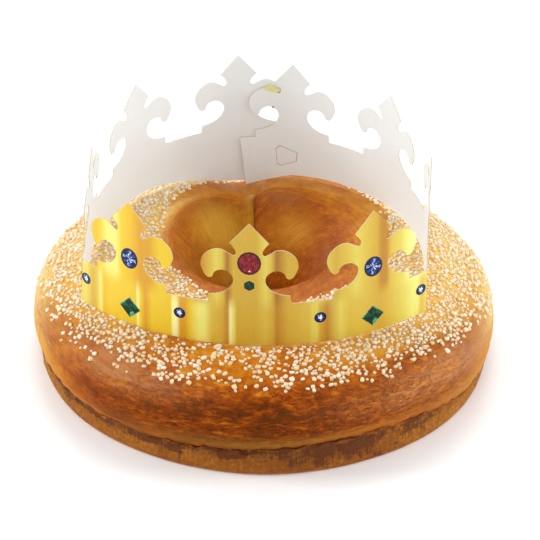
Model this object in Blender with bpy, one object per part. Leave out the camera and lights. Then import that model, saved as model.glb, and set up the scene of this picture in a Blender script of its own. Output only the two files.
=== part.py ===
"""A brioche king cake: a baked ring strewn with pearl sugar, with an adult paper crown resting on its top.

Azimuths are degrees about the ring's axis, from 0 at the front (-Y) to +90 at the right (+X).
"""

import math
import random

import bmesh
import bpy
from mathutils import Matrix, Vector
from mathutils.bvhtree import BVHTree

# The ring of dough, in metres.
CAKE_RADIUS = 0.1338  # at the widest, above the tear
CREST_RADIUS = 0.0787  # where the ring is highest
WIDEST_HEIGHT = 0.0287
CREST_HEIGHTS = (  # azimuth, height of the crest, which climbs towards the back and dips beside the join
    (-180, 0.0597), (-170, 0.0535), (-160, 0.0573), (-150, 0.0602), (-135, 0.0616), (-120, 0.0608),
    (-90, 0.0570), (-60, 0.0540), (-30, 0.0519), (0, 0.0516), (30, 0.0530), (60, 0.0562),
    (90, 0.0590), (120, 0.0608), (150, 0.0615),
)

# The strip of crust below the tear, from the flat it stands on, and the lip that hangs over it.
SKIRT = (  # radius, share of the tear's height, height added to that
    (0.1272, 0.0, 0.0), (0.1298, 0.0, 0.0007), (0.1306, 0.0, 0.0030), (0.1301, 0.5, 0.0),
    (0.1289, 1.0, -0.0022), (0.1295, 1.0, -0.0003), (0.1324, 1.0, 0.0006), (0.1334, 1.0, 0.0032),
)
SHOULDER_ANGLES = (0, 17, 33, 48, 62, 76)  # degrees round a quarter ellipse, from the widest place up
LIP_HEIGHTS = (  # azimuth, height of the tear
    (-180, 0.0160), (-120, 0.0150), (-75, 0.0170), (-40, 0.0172), (-15, 0.0180),
    (10, 0.0208), (32, 0.0226), (60, 0.0160), (75, 0.0145), (120, 0.0165),
)

# The hole, a little behind the middle, and the funnel that leads down to it.
HOLE_CENTRE = (-0.004, 0.008)
HOLE_RADIUS = 0.0165
HOLE_FOOT_RADIUS = 0.0185
FUNNEL_RADIUS = 0.048  # of the funnel's rim at the sides
FUNNEL_SHIFT = 0.018  # the rim lies this much nearer at the front, and further out at the back
RIM_DROP = 0.04  # share of the crest's height lost at the rim
RIM_ROUNDING = 2.5
RIM_SHARES = (0.35, 0.7)  # where the section has points between the crest and the rim
FUNNEL_WALL = (  # share of the way out from the hole to the rim, share of the rim's height
    (0.0, 0.12), (0.03, 0.26), (0.10, 0.38), (0.22, 0.50), (0.36, 0.62),
    (0.52, 0.745), (0.70, 0.86), (0.87, 0.95), (1.0, 1.0),
)

# Where the two ends of the dough meet, at the back, the left one lapping over the right one.
JOIN_AZIMUTH = -177.0
JOIN_DIP = 0.0024
JOIN_DIP_WIDTH = 7.0
JOIN_GROOVE = 0.0016
JOIN_GROOVE_WIDTH = 1.8
JOIN_STEP = 0.0007
JOIN_STEP_FADE = 25.0  # degrees over which the lapping end comes down to the crust beside it
JOIN_FOOT = 0.35  # share of the crest's height where the join starts to show, inside and outside
JOIN_FULL = 0.65

RING_STEPS = 60  # sections round the ring, and those at the join in degrees past it
JOIN_STEPS = (-4.0, -1.6, 0.0, 1.6, 4.0)

# Slow unevenness of the outline: size, waves round the ring, phase in degrees.
OUTLINE_WAVES = ((0.0005, 2, 40.0), (0.0005, 3, 205.0), (0.0003, 7, 80.0))

# Pearl sugar.
SUGAR_COUNT = 196
SUGAR_SIZE = (0.0033, 0.0046)
SUGAR_SPACING = 0.0066
SUGAR_SUNK = 0.16  # share of its size that a grain's middle lies above the crust
SUGAR_OUTER_RADIUS = 0.1225
SUGAR_FULL_RADIUS = 0.106  # inside this the sugar is dense
SUGAR_RIM_GAP = 0.005  # from the funnel's rim to the first sugar, and what the sides add to it
SUGAR_RIM_GAP_LEFT = 0.002
SUGAR_RIM_GAP_RIGHT = 0.006
GRAIN_PROPORTIONS = ((0.9, 1.15), (0.75, 0.95), (0.7, 0.9))
SUGAR_CROWN_CLEARANCE = 0.0045
SUGAR_SEED = 11

SHARP = math.radians(40)  # crust shaded as an edge where its faces meet at more than this

# The crown: a strip of card, cut to nine fleurs-de-lis, creased twice and bent into a ring.
CARD = 0.0005
TIP_PITCH = 0.070
TIPS = range(-4, 5)
BAND_HEIGHT = 0.0280
STRIP_HALF_LENGTH = 0.3090
RIGHT_END_TOP = 0.3125  # the right end is cut aslant, and reaches this far at its top
LOOP_HALF_LENGTH = 0.2961  # along the card, from the front to where the ends pass each other
FRONT_BEND_RADIUS = 0.1483
CREASE_AT = 0.1054
CREASE_TURN = math.radians(49.4)
SIDE_LENGTH = 0.0443
SIDE_BEND_RADIUS = 1.259
LEAN = math.radians(2.1)  # inwards, all round
SIDE_LEANS = ((-0.140, math.radians(1.2)), (0.140, math.radians(-2.7)))  # along the card, added to that
SIDE_LEAN_SPREAD = 0.045
LAP_SHIFT = 0.0010  # the right end lies this far inside the left one
LAP_START = 0.225
END_SLIP = -0.0055  # the right end has slipped down, more and more from here
END_SLIP_START = 0.140
CROWN_PLACE = (-0.0036, 0.0041, 0.0598)
CROWN_TILT = math.radians(4.9)  # up at the back
CROWN_ROLL = math.radians(-1.0)
CROWN_TURN = math.radians(-2.4)
BEND_STEP = 0.0125  # length of card between the flats that make the bend
EDGE_STEP = 0.002

# Right half of one fleur-de-lis, in millimetres from its axis and the band's lower edge,
# from its foot to its tip. "corner" points are sharp, the others lie on a smooth curve.
FLEUR = (
    (23.0, 28.2, "corner"), (22.7, 33.2, "corner"),
    (16.2, 34.7, "curve"), (11.2, 38.2, "curve"), (8.9, 44.2, "curve"),
    (11.0, 48.6, "curve"), (15.6, 50.1, "curve"), (19.4, 48.0, "curve"), (20.4, 45.2, "corner"),
    (22.6, 44.4, "curve"), (25.9, 48.6, "curve"), (26.9, 54.2, "curve"),
    (23.4, 60.8, "curve"), (16.3, 63.7, "curve"), (10.6, 60.9, "curve"), (8.3, 60.1, "curve"),
    (7.3, 61.8, "curve"), (8.4, 64.9, "curve"), (10.9, 68.1, "corner"), (0.0, 81.1, "corner"),
)
# Lower edge of the strip, in the same way: the ends are cut deeper than the rest, and the left one,
# which goes behind the other, is tapered.
LOWER_EDGE = (
    (-309.0, -1.0, "corner"), (-286.0, -11.4, "corner"), (-268.0, -9.4, "curve"), (-245.0, -4.4, "curve"),
    (-222.0, 0.0, "corner"), (281.0, 0.0, "corner"), (309.0, -7.4, "corner"),
)
MILLIMETRE = 0.001


def material(name, colour, roughness):
    made = bpy.data.materials.new(name)
    made.use_nodes = True
    shader = made.node_tree.nodes["Principled BSDF"]
    shader.inputs["Base Color"].default_value = (*colour, 1)
    shader.inputs["Roughness"].default_value = roughness
    made.diffuse_color = (*colour, 1)
    return made


def object_from(bm, name, collection, made_of=None):
    mesh = bpy.data.meshes.new(name)
    bm.to_mesh(mesh)
    bm.free()
    if made_of:
        mesh.materials.append(made_of)
    made = bpy.data.objects.new(name, mesh)
    collection.objects.link(made)
    return made


def ease(x):
    x = min(max(x, 0.0), 1.0)
    return x * x * (3 - 2 * x)


def bell(x, width):
    return math.exp(-((x / width) ** 2))


def at_azimuth(azimuth, table):
    """Reads a table of (azimuth, value) round the full circle, on a smooth curve through its entries."""
    azimuth = (azimuth + 180) % 360 - 180
    count = len(table)
    here = max(index for index in range(count) if table[index][0] <= azimuth)

    def entry(index):
        turns, index = divmod(index, count)
        return table[index][0] + 360 * turns, table[index][1]

    (a0, v0), (a1, v1), (a2, v2), (a3, v3) = (entry(here + offset) for offset in (-1, 0, 1, 2))
    t = (azimuth - a1) / (a2 - a1)
    slope1 = (v2 - v0) / (a2 - a0) * (a2 - a1)
    slope2 = (v3 - v1) / (a3 - a1) * (a2 - a1)
    rise = v1 * (1 + 2 * t) * (1 - t) ** 2 + v2 * t * t * (3 - 2 * t)
    return rise + slope1 * t * (1 - t) ** 2 - slope2 * t * t * (1 - t)


def from_join(azimuth):
    """Degrees past the join, onto the end that laps over."""
    return (azimuth - JOIN_AZIMUTH + 180) % 360 - 180


def join_relief(azimuth, share_of_height):
    """How far the crust rises at the join, mostly below nothing; it fades out down the hole."""
    past = from_join(azimuth)
    over = 1 - ease(0.5 - past / JOIN_GROOVE_WIDTH)
    step = JOIN_STEP * over * math.exp(-abs(past) / JOIN_STEP_FADE)
    dip = JOIN_DIP * bell(past, JOIN_DIP_WIDTH)
    groove = JOIN_GROOVE * bell(past, JOIN_GROOVE_WIDTH)
    return (step - dip - groove) * ease((share_of_height - JOIN_FOOT) / (JOIN_FULL - JOIN_FOOT))


def funnel_rim(azimuth):
    """Distance of the funnel's rim from the middle of the hole."""
    return FUNNEL_RADIUS - FUNNEL_SHIFT * math.cos(math.radians(azimuth))


def section(azimuth):
    """Points of the ring's section from the flat under its outer edge, up over the crest and down the hole.

    Each is (radius, height, middle), where middle goes from 0, measured from the ring's axis,
    to 1, measured from the hole's.
    """
    wave = sum(size * math.sin(math.radians(count * azimuth + phase)) for size, count, phase in OUTLINE_WAVES)
    lip = at_azimuth(azimuth, LIP_HEIGHTS)
    crest = at_azimuth(azimuth, CREST_HEIGHTS)
    points = [(radius + wave, lip * share + added, 0) for radius, share, added in SKIRT]
    half_width = CAKE_RADIUS - CREST_RADIUS
    for angle in SHOULDER_ANGLES:
        across, up = math.cos(math.radians(angle)), math.sin(math.radians(angle))
        height = WIDEST_HEIGHT + (crest + join_relief(azimuth, up) - WIDEST_HEIGHT) * up
        points.append((CREST_RADIUS + half_width * across + wave * across, height, 0))
    points.append((CREST_RADIUS, crest + join_relief(azimuth, 1), 0))

    rim = funnel_rim(azimuth)
    for share in RIM_SHARES:
        radius = CREST_RADIUS + (rim - CREST_RADIUS) * share
        height = crest * (1 - RIM_DROP * share ** RIM_ROUNDING)
        points.append((radius, height + join_relief(azimuth, 1), share))
    for out, up in reversed(FUNNEL_WALL):
        height = crest * (1 - RIM_DROP) * up
        points.append((HOLE_RADIUS + (rim - HOLE_RADIUS) * out, height + join_relief(azimuth, up), 1))
    points.append((HOLE_FOOT_RADIUS, 0.0, 1))
    return points


def on_ring(azimuth, radius, height, middle):
    turn = math.radians(azimuth)
    x = HOLE_CENTRE[0] * middle + radius * math.sin(turn)
    y = HOLE_CENTRE[1] * middle - radius * math.cos(turn)
    return Vector((x, y, height))


def ring_azimuths():
    """Even steps, with more of them at the join."""
    even = [-180 + 360 * step / RING_STEPS for step in range(RING_STEPS)]
    away = [azimuth for azimuth in even if abs(from_join(azimuth)) > JOIN_STEPS[-1] + 1]
    return sorted(away + [JOIN_AZIMUTH + offset for offset in JOIN_STEPS])


def bare_ring(collection, crust):
    bm = bmesh.new()
    rows = []
    for azimuth in ring_azimuths():
        rows.append([bm.verts.new(on_ring(azimuth, *point)) for point in section(azimuth)])
    for row, after in zip(rows, rows[1:] + rows[:1]):
        for index in range(len(row)):
            follows = (index + 1) % len(row)
            bm.faces.new((row[index], after[index], after[follows], row[follows]))
    bmesh.ops.triangulate(bm, faces=bm.faces, quad_method="BEAUTY")
    bmesh.ops.recalc_face_normals(bm, faces=bm.faces)
    ring = object_from(bm, "brioche", collection, crust)
    ring.data.shade_smooth()
    return ring


def sugar_inner_radius(azimuth):
    """Distance from the hole at which the sugar starts: closer in at the front."""
    added = SUGAR_RIM_GAP_RIGHT if azimuth > 0 else SUGAR_RIM_GAP_LEFT
    return funnel_rim(azimuth) + SUGAR_RIM_GAP + added * math.sin(math.radians(abs(azimuth)))


def sugar_chance(x, y):
    """How thickly the sugar lies at a place: 1 by the crown and on the sides, thin low on the front."""
    from_axis = math.hypot(x, y)
    azimuth = math.degrees(math.atan2(x, -y))
    from_hole = math.hypot(x - HOLE_CENTRE[0], y - HOLE_CENTRE[1])
    if from_hole < sugar_inner_radius(azimuth):
        return 0.0
    return 1 - ease((from_axis - SUGAR_FULL_RADIUS) / (SUGAR_OUTER_RADIUS - SUGAR_FULL_RADIUS))


def strew_sugar(ring, crown_edge, collection):
    """Drops grains on the crust, the largest first, spread evenly and clear of the crown."""
    draw = random.Random(SUGAR_SEED)
    surface = BVHTree.FromPolygons(
        [vertex.co for vertex in ring.data.vertices], [face.vertices for face in ring.data.polygons]
    )
    laid = []
    while len(laid) < SUGAR_COUNT:
        x, y = (draw.uniform(-SUGAR_OUTER_RADIUS, SUGAR_OUTER_RADIUS) for _ in range(2))
        if draw.random() > sugar_chance(x, y):
            continue
        place, normal, _, _ = surface.ray_cast(Vector((x, y, 1)), Vector((0, 0, -1)))
        if min((place.xy - edge.xy).length for edge in crown_edge) < SUGAR_CROWN_CLEARANCE:
            continue
        if any((place - other).length < SUGAR_SPACING for other in laid):
            continue
        laid.append(place)
        size = SUGAR_SIZE[1] + (SUGAR_SIZE[0] - SUGAR_SIZE[1]) * len(laid) / SUGAR_COUNT
        bm = bmesh.new()
        bmesh.ops.create_icosphere(bm, subdivisions=1, radius=size / 2)
        shape = Matrix.Diagonal([draw.uniform(*limits) for limits in GRAIN_PROPORTIONS] + [1])
        spin = Matrix.Rotation(draw.uniform(0, math.tau), 4, "Z")
        upright = normal.to_track_quat("Z", "Y").to_matrix().to_4x4()
        bm.transform(Matrix.Translation(place + normal * size * SUGAR_SUNK) @ upright @ spin @ shape)
        object_from(bm, "grain", collection)


def fuse(target, pieces):
    """Joins a collection's objects to the target for good, and removes them."""
    union = target.modifiers.new("sugar", "BOOLEAN")
    union.operation = "UNION"
    union.operand_type = "COLLECTION"
    union.collection = pieces
    union.solver = "EXACT"
    bpy.context.view_layer.update()
    fused = bpy.data.meshes.new_from_object(target.evaluated_get(bpy.context.evaluated_depsgraph_get()))
    target.modifiers.clear()
    target.data = fused
    for piece in list(pieces.objects):
        bpy.data.objects.remove(piece)
    bpy.data.collections.remove(pieces)


def strip_outline(resolution):
    """The cut strip laid flat, X along it from the front, Y up the band, as one closed 2D curve."""
    points = [(along * MILLIMETRE, up * MILLIMETRE, kind) for along, up, kind in LOWER_EDGE]
    points.append((RIGHT_END_TOP, BAND_HEIGHT, "corner"))
    for tip in reversed(TIPS):
        axis = tip * TIP_PITCH
        right = [(axis + u * MILLIMETRE, h * MILLIMETRE, kind) for u, h, kind in FLEUR]
        points += right + [(2 * axis - x, y, kind) for x, y, kind in reversed(right[:-1])]
    points.append((-STRIP_HALF_LENGTH, BAND_HEIGHT, "corner"))

    curve = bpy.data.curves.new("strip", "CURVE")
    curve.dimensions = "2D"
    curve.fill_mode = "BOTH"
    curve.extrude = CARD / 2
    curve.resolution_u = resolution
    spline = curve.splines.new("BEZIER")
    spline.bezier_points.add(len(points) - 1)
    spline.use_cyclic_u = True
    for bezier, (x, y, kind) in zip(spline.bezier_points, points):
        bezier.co = (x, y, 0)
        handle = "VECTOR" if kind == "corner" else "AUTO"
        bezier.handle_left_type = bezier.handle_right_type = handle
    return curve


def crown_stretches():
    """(length, turn per metre, turn at its end) of the card from the front to the back: front, side, back."""
    side_turn = SIDE_LENGTH / SIDE_BEND_RADIUS
    turned = CREASE_AT / FRONT_BEND_RADIUS + CREASE_TURN + side_turn
    back_length = LOOP_HALF_LENGTH - CREASE_AT - SIDE_LENGTH
    back_bend = (math.pi - turned) / back_length
    return (
        (CREASE_AT, 1 / FRONT_BEND_RADIUS, CREASE_TURN),
        (SIDE_LENGTH, 1 / SIDE_BEND_RADIUS, 0.0),
        (math.inf, back_bend, 0.0),
    )


def along_card(distance):
    """Plan position and outward direction at a signed distance along the card from the front."""
    left, side = abs(distance), math.copysign(1, distance)
    x, y, heading = 0.0, 0.0, 0.0
    for length, bend, crease in crown_stretches():
        step = min(left, length)
        x += (math.sin(heading + bend * step) - math.sin(heading)) / bend
        y += (math.cos(heading) - math.cos(heading + bend * step)) / bend
        heading += bend * step
        left -= step
        if left <= 0:
            break
        heading += crease
    return Vector((side * x, y, 0)), Vector((side * math.sin(heading), -math.cos(heading), 0))


def bent(flat):
    """Where a point of the flat strip goes once the card is bent into the crown."""
    along, up, out = flat
    place, outward = along_card(along)
    depth = along_card(LOOP_HALF_LENGTH)[0].y
    lapped = LAP_SHIFT * ease((along - LAP_START) / (LOOP_HALF_LENGTH - LAP_START))
    up += END_SLIP * max((along - END_SLIP_START) / (LOOP_HALF_LENGTH - END_SLIP_START), 0)
    lean = LEAN + sum(added * bell(along - at, SIDE_LEAN_SPREAD) for at, added in SIDE_LEANS)
    leaning = outward * (out - lapped - up * math.sin(lean))
    return place - Vector((0, depth / 2, 0)) + leaning + Vector((0, 0, up * math.cos(lean)))


def paper_crown(collection, gold_card):
    """The flat strip, cut across where it bends, then bent."""
    curve = strip_outline(resolution=2)
    flat = bpy.data.objects.new("flat_strip", curve)
    collection.objects.link(flat)
    bpy.context.view_layer.update()
    mesh = bpy.data.meshes.new_from_object(flat.evaluated_get(bpy.context.evaluated_depsgraph_get()))
    bpy.data.objects.remove(flat)
    bpy.data.curves.remove(curve)

    bm = bmesh.new()
    bm.from_mesh(mesh)
    bpy.data.meshes.remove(mesh)
    bmesh.ops.remove_doubles(bm, verts=bm.verts, dist=1e-6)
    bmesh.ops.dissolve_limit(bm, angle_limit=math.radians(4), verts=bm.verts, edges=bm.edges)
    steps = int(STRIP_HALF_LENGTH / BEND_STEP)
    cuts = {step * BEND_STEP for step in range(-steps, steps + 1)} | {-CREASE_AT, CREASE_AT}
    for cut in sorted(cuts):
        everything = bm.verts[:] + bm.edges[:] + bm.faces[:]
        bmesh.ops.bisect_plane(bm, geom=everything, dist=1e-5, plane_co=(cut, 0, 0), plane_no=(1, 0, 0))
    bmesh.ops.triangulate(bm, faces=bm.faces, ngon_method="EAR_CLIP")
    bmesh.ops.recalc_face_normals(bm, faces=bm.faces)
    for vertex in bm.verts:
        vertex.co = bent(vertex.co)
    crown = object_from(bm, "crown", collection, gold_card)
    crown.location = CROWN_PLACE
    turned = Matrix.Rotation(CROWN_TILT, 4, "X") @ Matrix.Rotation(CROWN_ROLL, 4, "Y")
    crown.rotation_euler = (turned @ Matrix.Rotation(CROWN_TURN, 4, "Z")).to_euler()
    bpy.context.view_layer.update()
    return crown


def crown_lower_edge(crown):
    """World points along the card's lower edge, closer together than a grain of sugar."""
    corners = [(along * MILLIMETRE, up * MILLIMETRE) for along, up, _ in LOWER_EDGE]
    edge = []
    for (along, up), (next_along, next_up) in zip(corners, corners[1:]):
        count = math.ceil((next_along - along) / EDGE_STEP)
        for step in range(count + 1):
            share = step / count
            flat = (along + (next_along - along) * share, up + (next_up - up) * share, 0)
            edge.append(crown.matrix_world @ bent(flat))
    return edge


def centre_on_origin(objects):
    """Hangs the objects from an empty, moved so that their common box stands centred on the origin."""
    corners = [thing.matrix_world @ vertex.co for thing in objects for vertex in thing.data.vertices]
    middle = [(min(c[axis] for c in corners) + max(c[axis] for c in corners)) / 2 for axis in (0, 1)]
    holder = bpy.data.objects.new("king_cake", None)
    holder.location = (-middle[0], -middle[1], 0)
    objects[0].users_collection[0].objects.link(holder)
    for thing in objects:
        thing.parent = holder


def main():
    for leftover in list(bpy.data.objects):
        bpy.data.objects.remove(leftover)
    king_cake = bpy.data.collections.new("king_cake")
    sugar = bpy.data.collections.new("sugar")
    for collection in (king_cake, sugar):
        bpy.context.scene.collection.children.link(collection)

    crown = paper_crown(king_cake, material("gold_card", (0.70, 0.47, 0.10), 0.35))
    ring = bare_ring(king_cake, material("crust", (0.47, 0.19, 0.04), 0.42))
    strew_sugar(ring, crown_lower_edge(crown), sugar)
    fuse(ring, sugar)
    ring.data.set_sharp_from_angle(angle=SHARP)
    centre_on_origin([ring, crown])


main()
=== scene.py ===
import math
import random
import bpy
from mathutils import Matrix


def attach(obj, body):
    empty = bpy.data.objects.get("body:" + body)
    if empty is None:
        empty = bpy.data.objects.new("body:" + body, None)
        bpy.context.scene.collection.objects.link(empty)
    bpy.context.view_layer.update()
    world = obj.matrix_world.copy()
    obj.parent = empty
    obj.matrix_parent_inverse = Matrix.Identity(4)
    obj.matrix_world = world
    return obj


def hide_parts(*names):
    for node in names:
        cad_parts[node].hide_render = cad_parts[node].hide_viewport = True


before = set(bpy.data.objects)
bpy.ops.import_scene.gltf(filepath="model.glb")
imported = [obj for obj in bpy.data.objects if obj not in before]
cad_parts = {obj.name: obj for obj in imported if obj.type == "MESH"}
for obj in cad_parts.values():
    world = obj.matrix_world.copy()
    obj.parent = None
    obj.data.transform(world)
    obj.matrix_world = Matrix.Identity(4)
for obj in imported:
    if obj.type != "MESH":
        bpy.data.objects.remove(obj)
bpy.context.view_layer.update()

# The looks of a brioche king cake: a crust with its wrinkles and torn lower edge, loose pearl sugar,
# and a printed card crown. Lengths are in metres. Azimuths are degrees about the ring's axis, from 0 at
# the front (-Y) to +90 at the right (+X).

from types import SimpleNamespace

import bmesh
import bpy
import numpy as np
from mathutils import Matrix, Vector, noise
from mathutils.bvhtree import BVHTree

MILLIMETRE = 0.001

# The pieces were built round the ring's own axis; this moves them to the middle of their common box.
ORIGIN_SHIFT = Vector((-0.000401, 0.000081, 0))

# ---- the ring's form, as in the solid

CAKE_RADIUS = 0.1338
CREST_RADIUS = 0.0787
WIDEST_HEIGHT = 0.0287
CREST_HEIGHTS = (
    (-180, 0.0597), (-170, 0.0535), (-160, 0.0573), (-150, 0.0602), (-135, 0.0616), (-120, 0.0608),
    (-90, 0.057), (-60, 0.054), (-30, 0.0519), (0, 0.0516), (30, 0.053), (60, 0.0562),
    (90, 0.059), (120, 0.0608), (150, 0.0615),
)
SKIRT = (  # level, distance from the axis, share of the lip's height, height added
    (0.0, 0.1272, 0.0, 0.0), (0.1, 0.1298, 0.0, 0.0007), (0.25, 0.1306, 0.0, 0.003),
    (0.55, 0.1301, 0.5, 0.0), (0.88, 0.1289, 1.0, -0.0022), (1.0, 0.1295, 1.0, -0.0003),
    (1.04, 0.1324, 1.0, 0.0006), (1.08, 0.1334, 1.0, 0.0032),
)
LIP_HEIGHTS = (
    (-180, 0.016), (-120, 0.015), (-75, 0.017), (-40, 0.0172), (-15, 0.018),
    (10, 0.0208), (32, 0.0226), (60, 0.016), (75, 0.0145), (120, 0.0165),
)
HOLE_CENTRE = (-0.004, 0.008)
HOLE_RADIUS = 0.0165
HOLE_FOOT_RADIUS = 0.0185
FUNNEL_RADIUS = 0.048
FUNNEL_SHIFT = 0.018
RIM_DROP = 0.04
RIM_ROUNDING = 2.5
FUNNEL_WALL = (
    (0.0, 0.12), (0.03, 0.26), (0.1, 0.38), (0.22, 0.5), (0.36, 0.62),
    (0.52, 0.745), (0.7, 0.86), (0.87, 0.95), (1.0, 1.0),
)
JOIN_AZIMUTH = -177.0
JOIN_DIP = 0.0024
JOIN_DIP_WIDTH = 7.0
JOIN_GROOVE = 0.0016
JOIN_GROOVE_WIDTH = 1.8
JOIN_STEP = 0.0007
JOIN_STEP_FADE = 25.0
JOIN_FOOT = 0.35
JOIN_FULL = 0.65
OUTLINE_WAVES = ((0.0005, 2, 40.0), (0.0005, 3, 205.0), (0.0003, 7, 80.0))

# How finely the crust is meshed, round the ring.
ROUND_STEPS = 510


def ease(x):
    x = min(max(x, 0.0), 1.0)
    return x * x * (3 - 2 * x)


def bell(x, width):
    return math.exp(-((x / width) ** 2))


def smooth_curve(start, end, lead, trail, t):
    """From start to end, leaving along lead and arriving along trail."""
    between = start * (1 + 2 * t) * (1 - t) ** 2 + end * t * t * (3 - 2 * t)
    return between + lead * t * (1 - t) ** 2 - trail * t * t * (1 - t)


def azimuth_difference(a, b):
    """Degrees from b to a, the short way round."""
    return (a - b + 180) % 360 - 180


def at_azimuth(azimuth, table):
    """Reads a table of (azimuth, value) on a smooth curve round the full circle."""
    azimuth = azimuth_difference(azimuth, 0)
    count = len(table)
    here = max(index for index in range(count) if table[index][0] <= azimuth)

    def entry(index):
        turns, index = divmod(index, count)
        return table[index][0] + 360 * turns, table[index][1]

    (a0, v0), (a1, v1), (a2, v2), (a3, v3) = (entry(here + offset) for offset in (-1, 0, 1, 2))
    t = (azimuth - a1) / (a2 - a1)
    slope1 = (v2 - v0) / (a2 - a0) * (a2 - a1)
    slope2 = (v3 - v1) / (a3 - a1) * (a2 - a1)
    return smooth_curve(v1, v2, slope1, slope2, t)


def join_relief(azimuth, share_of_height):
    """How far the crust stands up or dips beside the join."""
    past = azimuth_difference(azimuth, JOIN_AZIMUTH)  # degrees onto the upper end
    over = 1 - ease(0.5 - past / JOIN_GROOVE_WIDTH)
    step = JOIN_STEP * over * math.exp(-abs(past) / JOIN_STEP_FADE)
    dip = JOIN_DIP * bell(past, JOIN_DIP_WIDTH)
    groove = JOIN_GROOVE * bell(past, JOIN_GROOVE_WIDTH)
    return (step - dip - groove) * ease((share_of_height - JOIN_FOOT) / (JOIN_FULL - JOIN_FOOT))


def funnel_rim(azimuth):
    """Radius of the funnel's rim, about the hole."""
    return FUNNEL_RADIUS - FUNNEL_SHIFT * math.cos(math.radians(azimuth))


# ---- objects, colours and shader nodes


def tone(red, green, blue):
    """A colour given as it looks on a screen, 0 to 255, for a shader's linear sockets."""
    linear = []
    for value in (red, green, blue):
        share = value / 255
        linear.append(share / 12.92 if share <= 0.04045 else ((share + 0.055) / 1.055) ** 2.4)
    return (*linear, 1.0)


def put_in_scene(name, data):
    made = bpy.data.objects.new(name, data)
    bpy.context.scene.collection.objects.link(made)
    return made


def finished_object(name, bm):
    mesh = bpy.data.meshes.new(name)
    bm.to_mesh(mesh)
    bm.free()
    return put_in_scene(name, mesh)


def surface_of(made):
    """An object's faces, for finding what lies nearest or below."""
    corners = [vertex.co for vertex in made.data.vertices]
    return BVHTree.FromPolygons(corners, [face.vertices for face in made.data.polygons])


class Shading:
    """One material and short calls for the nodes that feed its shader."""

    def __init__(self, name):
        self.material = bpy.data.materials.new(name)
        self.material.use_nodes = True
        self.tree = self.material.node_tree
        self.shader = self.tree.nodes["Principled BSDF"]

    def node(self, kind, inputs=None, **settings):
        made = self.tree.nodes.new(kind)
        for key, value in settings.items():
            setattr(made, key, value)
        for key, value in (inputs or {}).items():
            self.feed(made.inputs[key], value)
        return made

    def feed(self, socket, value):
        if isinstance(value, bpy.types.NodeSocket):
            self.tree.links.new(value, socket)
        else:
            socket.default_value = value

    def attribute(self, name, output="Fac"):
        return self.node("ShaderNodeAttribute", attribute_name=name).outputs[output]

    def place(self):
        return self.node("ShaderNodeTexCoord").outputs["Object"]

    def strip_place(self):
        """Where a point lies on the card's strip laid flat."""
        return self.node("ShaderNodeUVMap", uv_map="strip").outputs["UV"]

    def noise(self, vector, scale, detail=3.0, roughness=0.55, distortion=0.0):
        """Noise of one scale, or of three, one along each axis."""
        if isinstance(scale, tuple):
            vector = self.node("ShaderNodeMapping", {"Vector": vector, "Scale": scale}).outputs["Vector"]
            scale = 1.0
        inputs = {"Vector": vector, "Scale": scale, "Detail": detail}
        inputs.update(Roughness=roughness, Distortion=distortion)
        return self.node("ShaderNodeTexNoise", inputs).outputs["Fac"]

    def math(self, operation, *values):
        return self.node("ShaderNodeMath", dict(enumerate(values)), operation=operation).outputs[0]

    def plus(self, total, *others):
        for other in others:
            total = self.math("ADD", total, other)
        return total

    def minus(self, first, second):
        return self.math("SUBTRACT", first, second)

    def times(self, product, *others):
        for other in others:
            product = self.math("MULTIPLY", product, other)
        return product

    def band(self, value, low, high, to_low=0.0, to_high=1.0):
        """Stretches low..high to to_low..to_high, and holds it there outside."""
        inputs = dict(enumerate((value, low, high, to_low, to_high)))
        return self.node("ShaderNodeMapRange", inputs, interpolation_type="SMOOTHSTEP").outputs["Result"]

    def mix(self, share, first, second, blend="MIX"):
        made = self.node("ShaderNodeMix", {"Factor": share}, data_type="RGBA", blend_type=blend)
        a, b, result = (socket for socket in (*made.inputs, *made.outputs) if socket.type == "RGBA")
        self.feed(a, first)
        self.feed(b, second)
        return result

    def ramp(self, value, stops):
        made = self.node("ShaderNodeValToRGB", {"Fac": value})
        elements = made.color_ramp.elements
        while len(elements) < len(stops):
            elements.new(0.5)
        for element, (position, _) in zip(elements, stops):
            element.position = position
        for element, (_, colour) in zip(elements, stops):
            element.color = colour
        return made.outputs["Color"]

    def bump(self, height, distance, strength=1.0):
        inputs = {"Height": height, "Distance": distance, "Strength": strength}
        return self.node("ShaderNodeBump", inputs).outputs["Normal"]

    def finish(self, **values):
        for name, value in values.items():
            self.feed(self.shader.inputs[name.replace("_", " ").title().replace("Ior", "IOR")], value)
        return self.material


# ---- where the pearl sugar lies

SUGAR_TRIES = 95000
SUGAR_LARGE = (0.0024, 0.0033)
SUGAR_SMALL = (0.0016, 0.0024)
SUGAR_LARGE_SHARE = 0.66
SUGAR_SEED = 23
SUGAR_OUTER = (  # azimuth, distance from the axis at which the last grains lie
    (-180, 0.127), (-120, 0.1325), (-100, 0.134), (-80, 0.132), (-50, 0.1275), (-15, 0.1235), (35, 0.1235),
    (50, 0.1255), (75, 0.1335), (100, 0.1345), (125, 0.133),
)
SUGAR_FADE = 0.025
SUGAR_INNER_FADE = 0.009
SUGAR_INNER = (  # azimuth about the hole, distance from its middle at which the sugar starts
    (-180, 0.087), (-158, 0.079), (-128, 0.064), (-95, 0.054), (-66, 0.0445), (-42, 0.042), (-20, 0.039),
    (10, 0.04), (25, 0.045), (42, 0.052), (58, 0.059), (80, 0.066), (100, 0.075), (125, 0.083),
    (150, 0.086),
)
SUGAR_CLUMP_LENGTH = 0.0075
SUGAR_CARD_GAP = 0.0003
SUGAR_CLOSENESS = 0.37
FRONT_THINNING = 0.89
FRONT_THINNING_AT = (-8, 62)  # azimuth, width in degrees
SUGAR_BETWEEN_CLUMPS = 0.3
SUGAR_IN_CLUMPS = 1.25  # added to that
CLUMP_CONTRAST = 1.2


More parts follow.
